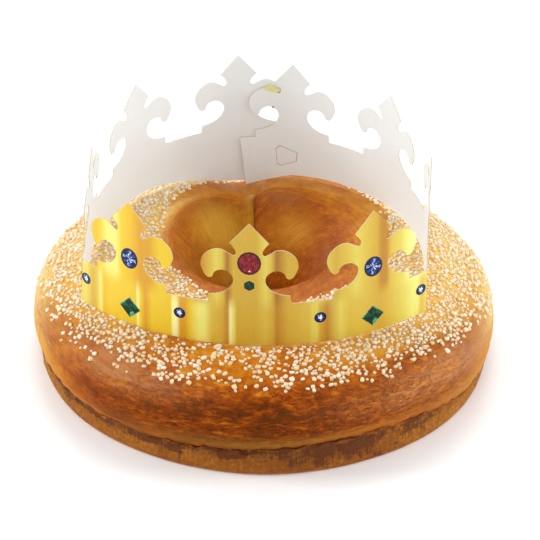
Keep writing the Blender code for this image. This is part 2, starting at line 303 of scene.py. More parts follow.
def sugar_cover(x, y):
    """How thickly the sugar lies: thinner at the front, none low on the shoulder or in the funnel."""
    azimuth = math.degrees(math.atan2(x, -y))
    hole_x, hole_y = x - HOLE_CENTRE[0], y - HOLE_CENTRE[1]
    start = at_azimuth(math.degrees(math.atan2(hole_x, -hole_y)), SUGAR_INNER)
    inner = ease((math.hypot(hole_x, hole_y) - start) / SUGAR_INNER_FADE)
    outer = ease((at_azimuth(azimuth, SUGAR_OUTER) - math.hypot(x, y)) / SUGAR_FADE)
    at, width = FRONT_THINNING_AT
    return inner * outer * (1 - FRONT_THINNING * bell(azimuth_difference(azimuth, at), width))


def sugar_chance(x, y):
    """The chance that a grain lies there: the cover, gathered into clumps."""
    clumped = ease(0.5 + CLUMP_CONTRAST * noise.noise(Vector((x, y, 0)) / SUGAR_CLUMP_LENGTH))
    return sugar_cover(x, y) * (SUGAR_BETWEEN_CLUMPS + SUGAR_IN_CLUMPS * clumped)


# ---- the crust's mesh

SHOULDER_ANGLES = (0, 17, 33, 48, 62, 76)
RIM_SHARES = (0, 0.35, 0.7)  # of the way from the crest to the funnel's rim
WIDEST_LEVEL = 1.12
HOLE_FOOT_LEVEL = 4.2
ROW_SPACING = 0.00105

# Unevenness of the crust: height, length, and length up if that differs.
SLOW_SWELLS = (0.00045, 0.026)
SMALL_SWELLS = (0.00024, 0.008)
LIP_RAGGED = (0.0011, 0.006)
WRINKLES = (0.00022, 0.011, 0.0024)
SKIRT_PORES = (0.0005, 0.0038)
SKIRT_FIBRES = (0.00028, 0.0042, 0.016)
TEAR_CRUMBS = (0.0022, 0.006, 0.003)
TEAR_FILL = 0.002  # how far the torn dough fills the hollow under the lip
CALM_NEAR_CARD = 0.007  # nearer to the card than this the crust is more even
CALM_LEAST = 0.25
PLAIN_ABOVE_FLOOR = 0.004
NOISE_SEED_STEP = 7.31

# Levels at which each kind starts, is full, starts to fade and ends.
WRINKLED_LEVELS = (1.04, 1.14, 1.55, 1.75)
FAINTLY_WRINKLED_LEVELS = (1.1, 1.2, 1.6, 1.8)
FAINTLY_WRINKLED = 0.35
WRINKLED_AT = (10, 55)  # azimuth, width in degrees, outside which the wrinkles are faint
FIBROUS_LEVELS = (0.12, 0.3, 0.85, 1.0)
TORN_LEVELS = (0.5, 0.85, 1.0, 1.06)
SUGAR_LEVELS = (1.2, 3.2)  # the sugar lies between these

# The lap, which is ruddier, covers the funnel from here round by the right to the join.
LAP_FROM = -25.0
RUDDY_SPREAD = 50.0
STROKE_SLANT = 45.0  # degrees round for each level, of the brush strokes on the lap
STROKE_RISE = 0.25


def unevenness(places, kind, seed):
    """Smooth noise of a kind: its height and length, and its length up if that differs."""
    height, length, *rise = kind
    scaled = places / np.array((length, length, *(rise or (length,)))) + seed * NOISE_SEED_STEP
    return height * np.array([noise.noise(Vector(place)) for place in scaled])


def ring_place(azimuth, radius, height, middle):
    """A point of the ring, about its own axis at middle 0 and about the hole at middle 1."""
    turn = math.radians(azimuth)
    x = HOLE_CENTRE[0] * middle + radius * math.sin(turn)
    y = HOLE_CENTRE[1] * middle - radius * math.cos(turn)
    return x, y, height


def section(azimuth):
    """Corner points of the ring's section as (x, y, z), and the level of each.

    Levels run from 0 at the foot to 1 at the tear, 2 at the crest, 3 at the funnel's rim, 4 down the hole.
    """
    wave = sum(size * math.sin(math.radians(n * azimuth + phase)) for size, n, phase in OUTLINE_WAVES)
    around = Vector(ring_place(azimuth, CAKE_RADIUS, 0, 0)) / LIP_RAGGED[1]
    lip = at_azimuth(azimuth, LIP_HEIGHTS) + LIP_RAGGED[0] * noise.noise(around)
    crest = at_azimuth(azimuth, CREST_HEIGHTS)
    rim = funnel_rim(azimuth)
    # Level, radius, height, and where the centre lies from the ring's middle to the hole's.
    corners = [(level, radius + wave, lip * share + added, 0) for level, radius, share, added in SKIRT]
    for angle in SHOULDER_ANGLES:
        across, up = math.cos(math.radians(angle)), math.sin(math.radians(angle))
        radius = CREST_RADIUS + (CAKE_RADIUS - CREST_RADIUS) * across + wave * across
        height = WIDEST_HEIGHT + (crest + join_relief(azimuth, up) - WIDEST_HEIGHT) * up
        corners.append((WIDEST_LEVEL + (2 - WIDEST_LEVEL) * angle / 90, radius, height, 0))
    for share in RIM_SHARES:
        radius = CREST_RADIUS + (rim - CREST_RADIUS) * share
        height = crest * (1 - RIM_DROP * share ** RIM_ROUNDING) + join_relief(azimuth, 1)
        corners.append((2 + share, radius, height, share))
    for out, up in reversed(FUNNEL_WALL):
        height = crest * (1 - RIM_DROP) * up + join_relief(azimuth, up)
        corners.append((4 - out, HOLE_RADIUS + (rim - HOLE_RADIUS) * out, height, 1))
    corners.append((HOLE_FOOT_LEVEL, HOLE_FOOT_RADIUS, 0.0, 1))
    return [ring_place(azimuth, *corner[1:]) for corner in corners], [corner[0] for corner in corners]


def curve_rows(corners, levels, rows):
    """Rounds every section: a smooth curve through its corner points, as arrays [column, row]."""
    chords = np.linalg.norm(np.diff(corners, axis=1), axis=2)[..., None]
    slopes = np.diff(corners, axis=1) / chords
    tangents = np.concatenate([slopes[:, :1], slopes, slopes[:, -1:]], axis=1)
    weights = np.concatenate([chords[:, :1], chords, chords[:, -1:]], axis=1)
    tangents = (tangents[:, :-1] * weights[:, 1:] + tangents[:, 1:] * weights[:, :-1]) / (
        weights[:, :-1] + weights[:, 1:]
    )
    places, heights = [], []
    for index, count in enumerate(rows):
        ends = corners[:, index], corners[:, index + 1]
        ways = tangents[:, index] * chords[:, index], tangents[:, index + 1] * chords[:, index]
        for t in np.arange(count) / count:
            places.append(smooth_curve(*ends, *ways, t))
            heights.append(levels[index] + (levels[index + 1] - levels[index]) * t)
    places.append(corners[:, -1])
    heights.append(levels[-1])
    return np.stack(places, axis=1), np.array(heights)


def outward(grid):
    """Unit normals of a grid [column, row] that closes round its columns."""
    round_way = np.roll(grid, -1, axis=0) - np.roll(grid, 1, axis=0)
    up_way = np.gradient(grid, axis=1)
    normals = np.cross(round_way, up_way)
    return normals / np.linalg.norm(normals, axis=2)[..., None]


def window(values, low, low_full, high_full, high):
    """1 between the two full values, easing to 0 at low and at high."""
    rise = np.clip((values - low) / (low_full - low), 0, 1)
    fall = np.clip((high - values) / (high - high_full), 0, 1)
    both = rise * fall
    return both * both * (3 - 2 * both)


# Where the crust is drawn darker or paler than its surroundings, mostly as bake, partly as painted shade
# and sheen:
# azimuth, level, width in degrees, width in levels, amount.
BAKE_SHADE_AND_SHEEN_SPOTS = (
    # darker at the front: partly a browner bake, partly painted shade
    (-4, 1.32, 36, 0.25, 0.28), (-50, 1.17, 16, 0.1, 0.12), (-36, 1.07, 12, 0.04, 0.16),
    (-62, 1.08, 22, 0.05, -0.14), (-72, 1.48, 8, 0.1, 0.16), (-68, 1.28, 10, 0.1, 0.04),
    (-58, 1.4, 7, 0.07, -0.1), (66, 1.45, 9, 0.12, 0.14), (-50, 0.5, 16, 0.4, 0.06),
    (46, 1.18, 18, 0.1, 0.05), (-10, 1.07, 26, 0.06, 0.16), (22, 1.16, 16, 0.06, 0.08),
    # the skirt below it, and the sides, which are paler partly as bake and partly as painted sheen
    (-2, 0.45, 42, 0.42, 0.13), (-95, 1.4, 32, 0.6, -0.1), (95, 1.4, 32, 0.6, -0.1),
    # the dark back
    (172, 1.35, 42, 0.26, 0.2), (174, 0.5, 45, 0.5, 0.16),
    # the funnel, left and right of the join
    (-150, 3.35, 24, 0.25, -0.1), (-150, 3.05, 30, 0.12, 0.08), (-110, 3.5, 30, 0.3, 0.08),
    (150, 3.35, 40, 0.25, -0.06), (110, 3.3, 30, 0.3, 0.06),
    # the skirt, and the line where one end laps over the other
    (16, 0.5, 16, 0.3, 0.1), (58, 0.5, 8, 0.4, -0.12), (-177.6, 2.95, 0.9, 0.6, 0.22),
)
# Bake at each level before the spots: level, amount.
BAKED_LEVELS = (
    (0, 0.44), (0.3, 0.45), (0.52, 0.48), (0.77, 0.54), (1.0, 0.6), (1.05, 0.56), (1.16, 0.55),
    (1.25, 0.56), (1.35, 0.59), (1.45, 0.58), (1.55, 0.53), (1.67, 0.49), (1.82, 0.45), (2.0, 0.4),
    (2.3, 0.46), (2.6, 0.5), (3.0, 0.57), (3.6, 0.58), (4.2, 0.52),
)
# In the same form: painted highlights of rosy sheen, pale gold places, some of them painted sheen, and dark
# marks below the tear.
PAINTED_SHEEN_SPOTS = (
    (48, 1.36, 24, 0.18, 1), (-42, 1.5, 18, 0.14, 1.5), (64, 1.22, 14, 0.12, 0.8), (168, 2.95, 12, 0.25, 1),
    (100, 3.3, 30, 0.3, 1),
)
PALE_AND_SHEEN_SPOTS = (
    # the first two, at the sides, are mostly painted sheen where the ring turns away, partly a paler bake
    (-97, 1.4, 21, 0.7, 1.3), (97, 1.35, 21, 0.6, 1.1), (-120, 2.55, 26, 0.28, 1.1),
    (-174.5, 2.8, 2.5, 0.5, 0.6), (-150, 3.35, 17, 0.22, 1.7), (152, 3.4, 18, 0.2, 1.2),
    (-131, 3.82, 14, 0.1, 0.6), (-74, 1.1, 12, 0.08, 0.8), (-46, 1.05, 16, 0.014, 0.3),
    (84, 1.2, 14, 0.16, 0.6), (4, 1.07, 34, 0.035, 0.35), (62, 1.07, 14, 0.04, 0.6),
)
CHARRED_SPOTS = (
    (-66, 0.7, 4, 0.14, 0.24), (-57, 0.62, 3, 0.18, 0.22), (-50, 0.74, 14, 0.12, 0.16),
    (-28, 0.68, 5, 0.12, 0.32), (-21, 0.58, 2.5, 0.12, 0.22), (-7, 0.66, 3.5, 0.12, 0.32),
    (-12, 0.8, 16, 0.1, 0.16), (13, 0.62, 8, 0.32, 0.22), (27, 0.56, 8, 0.34, 0.22),
    (41, 0.66, 6, 0.26, 0.18), (-44, 0.64, 4, 0.14, 0.18), (-100, 0.72, 9, 0.14, 0.2),
    (104, 0.72, 9, 0.14, 0.2), (72, 0.76, 8, 0.1, 0.14), (150, 0.68, 8, 0.2, 0.2),
    (-160, 0.64, 9, 0.2, 0.2), (-130, 0.7, 6, 0.16, 0.2), (178, 0.7, 7, 0.14, 0.2),
)


def spots(azimuths, heights, places):
    """The sum of soft spots at each point of the crust, column by column."""
    total = np.zeros((len(azimuths), len(heights)))
    for azimuth, level, width, tall, amount in places:
        turned = azimuth_difference(azimuths[:, None], azimuth)
        total += amount * np.exp(-((turned / width) ** 2) - ((heights[None, :] - level) / tall) ** 2)
    return total.reshape(-1)


def even_crust():
    """The crust before its unevenness, [column, row], with its azimuths and levels."""
    azimuths = JOIN_AZIMUTH + np.arange(ROUND_STEPS) * 360 / ROUND_STEPS
    sections = [section(azimuth) for azimuth in azimuths]
    corners = np.array([points for points, _ in sections])
    typical = np.linalg.norm(np.diff(corners, axis=1), axis=2).mean(axis=0)
    rows = [max(2, round(length / ROW_SPACING)) for length in typical]
    grid, levels = curve_rows(corners, sections[0][1], rows)
    return grid, azimuths, levels


def crust_relief(flat, about, level, card):
    """How far each point stands out, and how wrinkled, fibrous and torn the crust is there."""
    clear = np.array([card.find_nearest(Vector(place) + ORIGIN_SHIFT)[3] for place in flat])
    calm = np.clip(clear / CALM_NEAR_CARD, CALM_LEAST, 1)
    at, width = WRINKLED_AT
    wrinkled = window(level, *WRINKLED_LEVELS) * np.exp(-(((about - at) / width) ** 4))
    wrinkled = np.maximum(wrinkled, FAINTLY_WRINKLED * window(level, *FAINTLY_WRINKLED_LEVELS))
    fibrous = window(level, *FIBROUS_LEVELS)
    torn = window(level, *TORN_LEVELS)

    swells = unevenness(flat, SLOW_SWELLS, 1) + unevenness(flat, SMALL_SWELLS, 2)
    folds = -np.abs(unevenness(flat, WRINKLES, 3))
    fibres = unevenness(flat, SKIRT_FIBRES, 4) + unevenness(flat, SKIRT_PORES, 6)
    crumbs = unevenness(flat, TEAR_CRUMBS, 5) + TEAR_FILL
    raised = (swells + folds * wrinkled) * calm + fibres * fibrous + crumbs * torn
    return raised * np.clip(flat[:, 2] / PLAIN_ABOVE_FLOOR, 0, 1), wrinkled, fibrous, torn


def closed_mesh(name, points, columns, count):
    """A mesh over points that run up each column, closed all round and underneath."""
    index = np.arange(columns * count).reshape(columns, count)
    after = np.roll(index, -1, axis=0)
    quads = np.stack([index[:, :-1], after[:, :-1], after[:, 1:], index[:, 1:]], axis=-1).reshape(-1, 4)
    under = np.stack([index[:, -1], after[:, -1], after[:, 0], index[:, 0]], axis=-1)
    mesh = bpy.data.meshes.new(name)
    mesh.from_pydata(points.tolist(), [], np.concatenate([quads, under]).tolist())
    mesh.shade_smooth()
    for face in mesh.polygons[-columns:]:
        face.use_smooth = False  # the flat underside
    return mesh


def crust_mesh(card):
    """The whole crust as one fine closed mesh, with what its material needs stored on it."""
    grid, azimuths, levels = even_crust()
    columns, count = grid.shape[:2]
    flat = grid.reshape(-1, 3)
    level = np.broadcast_to(levels, (columns, count)).reshape(-1)
    about = np.repeat(azimuth_difference(azimuths, 0), count)
    raised, wrinkled, fibrous, torn = crust_relief(flat, about, level, card)
    shown = flat + outward(grid).reshape(-1, 3) * raised[:, None]
    shown[:, 2] = np.maximum(shown[:, 2], 0)
    mesh = closed_mesh("crust", shown + np.array(ORIGIN_SHIFT), columns, count)

    topside = (level > SUGAR_LEVELS[0]) & (level < SUGAR_LEVELS[1])
    sugared = np.zeros(len(flat))
    sugared[topside] = [sugar_cover(x, y) for x, y in flat[topside, :2]]
    stored = {
        "baked": np.interp(level, *zip(*BAKED_LEVELS)) + spots(azimuths, levels, BAKE_SHADE_AND_SHEEN_SPOTS),
        "rosy": spots(azimuths, levels, PAINTED_SHEEN_SPOTS),
        "pale": spots(azimuths, levels, PALE_AND_SHEEN_SPOTS),
        "charred": spots(azimuths, levels, CHARRED_SPOTS),
        "ruddy": np.clip((about - LAP_FROM) / RUDDY_SPREAD, 0, 1) + (about < JOIN_AZIMUTH),
        "torn": torn, "skirt": fibrous, "wrinkled": wrinkled, "level": level, "sugared": sugared,
    }
    for name, values in stored.items():
        mesh.attributes.new(name, "FLOAT", "POINT").data.foreach_set("value", values.astype(np.float32))
    lap = (about > LAP_FROM) | (about < JOIN_AZIMUTH)
    turned = np.radians(about - lap * STROKE_SLANT * (level - 3))
    wound = np.stack([np.sin(turned), -np.cos(turned), level * STROKE_RISE], axis=1).astype(np.float32)
    mesh.attributes.new("wound", "FLOAT_VECTOR", "POINT").data.foreach_set("vector", wound.reshape(-1))
    return put_in_scene("crust", mesh)


# Colours of the crust by how baked it is, from 0 to 1.
BAKE_COLOURS = (
    (0.0, tone(230, 184, 104)), (0.2, tone(212, 152, 56)), (0.38, tone(192, 120, 28)),
    (0.55, tone(166, 84, 12)), (0.72, tone(136, 56, 5)), (0.88, tone(102, 38, 4)), (1.0, tone(82, 30, 6)),
)
# Pale gold, also the colour of the painted sheen at the ring's sides.
STRAW = tone(220, 186, 106)
FUNNEL_STRAW = tone(204, 150, 52)  # of the pale places in the funnel and low on the lip
# Paler crust among the sugar: partly its own glazed gold, partly painted light that lifts the shade between
# the grains.
GLAZE_AND_PAINTED_LIGHT = tone(210, 158, 66)  # between the grains of sugar
THICK_GLAZE_AND_PAINTED_LIGHT = tone(228, 188, 92)  # where the sugar is dense
# painted highlight: the rosy sheen on the egg wash
PAINTED_ROSY_SHEEN = tone(180, 122, 80)
SKIRT_BROWN = tone(140, 95, 46)
CHAR = tone(88, 42, 28)
FUNNEL_GOLD = tone(176, 120, 20)
RUDDY_TINT = tone(240, 218, 200)


def crust_patterns(s):
    """The stored values and the noises that make up the crust's colour, gloss and relief."""
    place, wound = s.place(), s.attribute("wound", "Vector")
    stored = "baked rosy pale charred ruddy torn skirt wrinkled level sugared"
    p = SimpleNamespace(**{name: s.attribute(name) for name in stored.split()})
    p.blotch = s.noise(place, (22, 22, 40), detail=4, distortion=0.4)
    p.streaks = s.noise(wound, (7, 7, 42), distortion=0.5)
    p.mottle = s.noise(place, 210, detail=5, roughness=0.68)
    p.lenses = s.noise(place, (125, 125, 400), detail=4, roughness=0.62, distortion=0.4)
    p.strokes = s.noise(place, (150, 150, 760), detail=4, distortion=0.5)
    p.brush = s.noise(place, (70, 70, 520), detail=2)
    p.fibres = s.noise(place, (760, 760, 90), detail=4, roughness=0.6)
    p.fan = s.noise(wound, (44, 44, 12), detail=5, distortion=0.6)
    p.crumb = s.noise(place, 420, detail=4, roughness=0.7)
    p.ragged = s.noise(place, (105, 105, 170), detail=6, roughness=0.72)
    p.lumps = s.noise(place, (130, 130, 260), detail=4, roughness=0.65)
    p.pores = s.noise(place, 900, detail=2)
    p.funnel = s.band(p.level, 2.8, 3.2)
    from_middle = s.math("ABSOLUTE", s.minus(p.strokes, 0.5))
    p.creases = s.times(s.band(from_middle, 0.0, 0.03, 1.0, 0.0), p.wrinkled)
    return p


def crust_bake_and_painted_light(s, p):
    """How brown the crust is drawn, for BAKE_COLOURS: its bake, with painted shade at the front and in the
    creases, and painted sheen at the sides.
    """
    baked = p.baked
    # By how much each pattern, about none on average, makes it more or less baked, and where.
    for amount, pattern, *where in (
        (0.45, p.blotch),
        (0.45, p.streaks, s.band(p.level, 1.0, 1.2, 0.2, 1.0)),
        (0.42, p.mottle),
        (0.22, p.brush),
        (0.75, p.strokes, p.wrinkled), (0.66, p.lenses, p.wrinkled),
        (0.9, p.mottle, s.band(p.sugared, 0.02, 0.3)),
        (0.3, p.fibres, p.skirt), (0.75, p.crumb, p.skirt),
        (0.5, p.crumb, p.torn),
        (0.55, p.fan, p.funnel),
    ):
        baked = s.plus(baked, s.times(s.minus(pattern, 0.5), amount, *where))
    # Darker along the wrinkles' creases: painted shade in the folds.
    in_creases = s.times(p.creases, s.band(p.blotch, 0.4, 0.6, 0.02, 0.1))
    in_tear = s.times(s.band(p.lumps, 0.44, 0.6), p.torn, 0.45)
    return s.plus(baked, in_creases, in_tear)


def crust_colour(s, p):
    straw = s.mix(s.math("MAXIMUM", p.funnel, s.band(p.level, 1.2, 1.1)), STRAW, FUNNEL_STRAW)
    grained = s.plus(s.times(p.fan, p.funnel), s.times(p.mottle, s.minus(1.0, p.funnel)))
    cover = s.plus(p.sugared, s.times(p.mottle, 0.3))
    marks = s.plus(p.charred, s.band(p.level, 0.45, 0.9, 0.0, 0.08))
    marks = s.plus(marks, s.times(p.ragged, 0.75), s.times(p.fibres, 0.35))
    below_tear = s.band(p.level, 1.03, 1.0)
    colour = s.ramp(crust_bake_and_painted_light(s, p), BAKE_COLOURS)
    for share, layer in (
        # Pale gold places; at the sides these are mostly painted sheen where the ring turns away.
        (s.times(p.pale, s.band(grained, 0.35, 0.62, 0.5, 1.0)), straw),
        # Paler crust among the sugar grains: partly glaze, partly painted light against the grains' shade.
        (s.band(cover, 0.26, 0.72, 0.0, 0.75), GLAZE_AND_PAINTED_LIGHT),
        (s.band(cover, 0.7, 1.2, 0.0, 0.9), THICK_GLAZE_AND_PAINTED_LIGHT),
        # Painted highlight: rosy sheen on the egg wash, broken by the brush strokes.
        (s.times(p.rosy, s.band(p.brush, 0.38, 0.62, 0.3, 0.65)), PAINTED_ROSY_SHEEN),
        (s.times(p.skirt, 0.5), SKIRT_BROWN),
        (s.times(s.band(marks, 0.66, 0.76), below_tear, 0.8), CHAR),
        (s.times(s.minus(1.0, p.ruddy), p.funnel, 0.3), FUNNEL_GOLD),
    ):
        colour = s.mix(share, colour, layer)
    return s.mix(s.times(p.ruddy, p.funnel), colour, RUDDY_TINT, "MULTIPLY")


def crust_finish():
    """Egg-washed crust, pale gold to deep brown, with wrinkles, fibres and a torn line."""
    s = Shading("crust")
    p = crust_patterns(s)
    rough = s.plus(s.band(p.level, 1.1, 1.35, 0.68, 0.31), s.times(s.minus(p.mottle, 0.5), 0.25))
    crumbly = s.times(p.crumb, s.math("MAXIMUM", p.skirt, p.torn), 1.5)
    relief = s.minus(s.times(p.mottle, 0.45), s.times(p.creases, 0.35))
    relief = s.plus(relief, s.times(p.brush, 0.45), s.times(p.fibres, p.skirt, 0.6), crumbly)
    relief = s.plus(relief, s.times(p.pores, 0.3), s.times(p.fan, p.funnel, 0.9))
    return s.finish(
        base_color=crust_colour(s, p), roughness=rough,
        specular_ior_level=0.26, specular_tint=tone(255, 196, 90),
        sheen_weight=0.03, sheen_roughness=0.45, sheen_tint=tone(255, 220, 140),
        normal=s.bump(relief, 0.0009),
    )


# ---- pearl sugar

# A grain's shape, for one about 2 long, before it is scaled to its size.
GRAIN_CUBE = 1.55
GRAIN_BALL = 1.08  # radius
GRAIN_ROUNDNESS = 0.6
GRAIN_PROPORTIONS = ((0.95, 1.28), (0.75, 1.0), (0.65, 0.9))
GRAIN_SWELLS = (0.34, 0.8)  # height, length
GRAIN_VARIETY = 0.37  # step of the seed from one grain's swells to the next
GRAIN_TILT = 0.5  # radians, as a typical departure
GRAIN_LIFT = 0.12  # share of its size that its middle may lie off the crust
GRAIN_TONES = (
    (0.0, tone(228, 188, 142)), (0.25, tone(236, 201, 160)),
    (0.6, tone(243, 213, 182)), (1.0, tone(250, 228, 206)),
)


def grain_template(large):
    """Corners and triangles of a grain: a cube half rounded into a ball, or a small ball."""
    bm = bmesh.new()
    if large:
        bmesh.ops.create_cube(bm, size=GRAIN_CUBE)
        bmesh.ops.subdivide_edges(bm, edges=bm.edges, cuts=1, use_grid_fill=True)
        bmesh.ops.triangulate(bm, faces=bm.faces)
    else:
        bmesh.ops.create_icosphere(bm, subdivisions=1, radius=GRAIN_BALL)
    corners = np.array([vertex.co for vertex in bm.verts])
    faces = np.array([[vertex.index for vertex in face.verts] for face in bm.faces])
    bm.free()
    round_corners = corners / np.linalg.norm(corners, axis=1)[:, None]
    return corners * (1 - GRAIN_ROUNDNESS) + round_corners * GRAIN_ROUNDNESS, faces


def strew_sugar(crust, card):
    """Irregular grains at true size, pressed into the crust, as one mesh."""
    draw = random.Random(SUGAR_SEED)
    surface = surface_of(crust)
    templates = {large: grain_template(large) for large in (True, False)}
    cell = SUGAR_LARGE[1]
    around = [(dx, dy) for dx in (-1, 0, 1) for dy in (-1, 0, 1)]
    laid = {}
    corners, faces, tones, base = [], [], [], 0
    for _ in range(SUGAR_TRIES):
        x, y = (draw.uniform(-CAKE_RADIUS, CAKE_RADIUS) for _ in range(2))
        large = draw.random() < SUGAR_LARGE_SHARE
        size = draw.uniform(*(SUGAR_LARGE if large else SUGAR_SMALL))
        if draw.random() > sugar_chance(x, y):
            continue
        place, normal, _, _ = surface.ray_cast(Vector((x, y, 1)) + ORIGIN_SHIFT, Vector((0, 0, -1)))
        from_card = card.find_nearest(place)[3]
        if from_card < size / 2:
            continue
        column, row = int(place.x // cell), int(place.y // cell)
        near = [other for dx, dy in around for other in laid.get((column + dx, row + dy), ())]
        if any((place - other).length < SUGAR_CLOSENESS * (size + width) for other, width in near):
            continue
        shape, sides = templates[large]
        swell = 1 + unevenness(shape, GRAIN_SWELLS, len(tones) * GRAIN_VARIETY)
        lengths = np.array([draw.uniform(*limits) for limits in GRAIN_PROPORTIONS])
        turn = np.array(Matrix.Rotation(draw.uniform(0, math.tau), 3, "Z"))
        tilt = np.array(Matrix.Rotation(draw.gauss(0, GRAIN_TILT), 3, "X"))
        upright = np.array(normal.to_track_quat("Z", "Y").to_matrix())
        grain = (shape * swell[:, None] * lengths * size / 2) @ (upright @ tilt @ turn).T
        grain += np.array(place + normal * size * draw.uniform(-GRAIN_LIFT, GRAIN_LIFT))
        touching = (card.find_nearest(Vector(corner))[3] < SUGAR_CARD_GAP for corner in grain)
        if from_card < size and any(touching):
            continue
        laid.setdefault((column, row), []).append((place, size))
        corners.append(grain)
        faces.append(sides + base)
        tones.append(np.full(len(shape), draw.random()))
        base += len(shape)
    mesh = bpy.data.meshes.new("pearl_sugar")
    mesh.from_pydata(np.concatenate(corners).tolist(), [], np.concatenate(faces).tolist())
    mesh.attributes.new("grain_tone", "FLOAT", "POINT").data.foreach_set("value", np.concatenate(tones))
    mesh.shade_smooth()
    return put_in_scene("pearl_sugar", mesh)


def sugar_finish():
    """Rough, slightly translucent grains, each of its own tone."""
    s = Shading("pearl_sugar")
    grain = s.noise(s.place(), 1500, roughness=0.7)
    colour = s.ramp(s.attribute("grain_tone"), GRAIN_TONES)
    colour = s.mix(s.times(grain, 0.25), colour, tone(240, 212, 164), "MULTIPLY")
    return s.finish(
        base_color=colour, roughness=0.6, specular_ior_level=0.3, normal=s.bump(grain, 0.0002),
        subsurface_weight=0.8, subsurface_radius=(1.0, 0.8, 0.6), subsurface_scale=0.004,
    )


# ---- the crown, as in the solid

CARD = 0.0005
TIP_PITCH = 0.07
TIPS = range(-4, 5)
BAND_HEIGHT = 0.028
STRIP_HALF_LENGTH = 0.309
RIGHT_END_TOP = 0.3125
LOOP_HALF_LENGTH = 0.2961
FRONT_BEND_RADIUS = 0.1483
CREASE_AT = 0.1054
CREASE_TURN = math.radians(49.4)
SIDE_LENGTH = 0.0443
SIDE_BEND_RADIUS = 1.259
LEAN = math.radians(2.1)
SIDE_LEANS = ((-0.14, math.radians(1.2)), (0.14, math.radians(-2.7)))
SIDE_LEAN_SPREAD = 0.045
LAP_SHIFT = 0.001
LAP_START = 0.225
END_SLIP = -0.0055
END_SLIP_START = 0.14
CROWN_PLACE = Vector((-0.0036, 0.0041, 0.0598))
CROWN_TILT = math.radians(4.9)
CROWN_ROLL = math.radians(-1.0)
CROWN_TURN = math.radians(-2.4)
BEND_STEP = 0.0025
CORNER, CURVE = "VECTOR", "AUTO"  # how the outline passes a point
# The right half of a fleur-de-lis from the band up, and the card's lower edge, in millimetres.
FLEUR = (
    (23, 28.2, CORNER), (22.7, 33.2, CORNER), (16.2, 34.7, CURVE), (11.2, 38.2, CURVE),
    (8.9, 44.2, CURVE), (11, 48.6, CURVE), (15.6, 50.1, CURVE), (19.4, 48, CURVE),
    (20.4, 45.2, CORNER), (22.6, 44.4, CURVE), (25.9, 48.6, CURVE), (26.9, 54.2, CURVE),
    (23.4, 60.8, CURVE), (16.3, 63.7, CURVE), (10.6, 60.9, CURVE), (8.3, 60.1, CURVE),
    (7.3, 61.8, CURVE), (8.4, 64.9, CURVE), (10.9, 68.1, CORNER), (0, 81.1, CORNER),
)
LOWER_EDGE = (
    (-309, -1, CORNER), (-286, -11.4, CORNER), (-268, -9.4, CURVE), (-245, -4.4, CURVE),
    (-222, 0, CORNER), (281, 0, CORNER), (309, -7.4, CORNER),
)
OUTLINE_STEPS = 9  # from one point of the outline to the next
UV_UNIT = 0.1  # length of strip to one unit of its UVs


def strip_outline():
    """The card cut out flat, as a curve with the card's thickness."""
    points = [(along * MILLIMETRE, up * MILLIMETRE, kind) for along, up, kind in LOWER_EDGE]
    points.append((RIGHT_END_TOP, BAND_HEIGHT, CORNER))
    for tip in reversed(TIPS):
        axis = tip * TIP_PITCH
        right = [(axis + u * MILLIMETRE, h * MILLIMETRE, kind) for u, h, kind in FLEUR]
        points += right + [(2 * axis - x, y, kind) for x, y, kind in reversed(right[:-1])]
    points.append((-STRIP_HALF_LENGTH, BAND_HEIGHT, CORNER))
    curve = bpy.data.curves.new("strip", "CURVE")
    curve.dimensions = "2D"
    curve.fill_mode = "BOTH"
    curve.extrude = CARD / 2
    curve.resolution_u = OUTLINE_STEPS
    spline = curve.splines.new("BEZIER")
    spline.bezier_points.add(len(points) - 1)
    spline.use_cyclic_u = True
    for bezier, (x, y, kind) in zip(spline.bezier_points, points):
        bezier.co = (x, y, 0)
        bezier.handle_left_type = bezier.handle_right_type = kind
    return curve


def crown_stretches():
    """Length, bend and crease at the end of each stretch of the card, from the front to the back."""
    side_turn = SIDE_LENGTH / SIDE_BEND_RADIUS
    turned = CREASE_AT / FRONT_BEND_RADIUS + CREASE_TURN + side_turn
    back_length = LOOP_HALF_LENGTH - CREASE_AT - SIDE_LENGTH
    return (
        (CREASE_AT, 1 / FRONT_BEND_RADIUS, CREASE_TURN),
        (SIDE_LENGTH, 1 / SIDE_BEND_RADIUS, 0.0),
        (math.inf, (math.pi - turned) / back_length, 0.0),
    )


def along_card(distance):
    """Plan position and outward direction at a signed distance along the card from the front."""
    left, side = abs(distance), math.copysign(1, distance)
    x, y, heading = 0.0, 0.0, 0.0
    for length, bend, crease in crown_stretches():
        step = min(left, length)
        x += (math.sin(heading + bend * step) - math.sin(heading)) / bend
        y += (math.cos(heading) - math.cos(heading + bend * step)) / bend
        heading += bend * step
        left -= step
        if left <= 0:
            break
        heading += crease
    return Vector((side * x, y, 0)), Vector((side * math.sin(heading), -math.cos(heading), 0))


def bent(flat):
    """Where a point of the flat strip goes once the card is bent into the crown."""
    along, up, out = flat
    place, away = along_card(along)
    depth = along_card(LOOP_HALF_LENGTH)[0].y
    lapped = LAP_SHIFT * ease((along - LAP_START) / (LOOP_HALF_LENGTH - LAP_START))
    up += END_SLIP * max((along - END_SLIP_START) / (LOOP_HALF_LENGTH - END_SLIP_START), 0)
    lean = LEAN + sum(added * bell(along - at, SIDE_LEAN_SPREAD) for at, added in SIDE_LEANS)
    leaning = away * (out - lapped - up * math.sin(lean))
    return place - Vector((0, depth / 2, 0)) + leaning + Vector((0, 0, up * math.cos(lean)))


def crown_matrix():
    turned = Matrix.Rotation(CROWN_TILT, 4, "X") @ Matrix.Rotation(CROWN_ROLL, 4, "Y")
    return Matrix.Translation(CROWN_PLACE + ORIGIN_SHIFT) @ turned @ Matrix.Rotation(CROWN_TURN, 4, "Z")


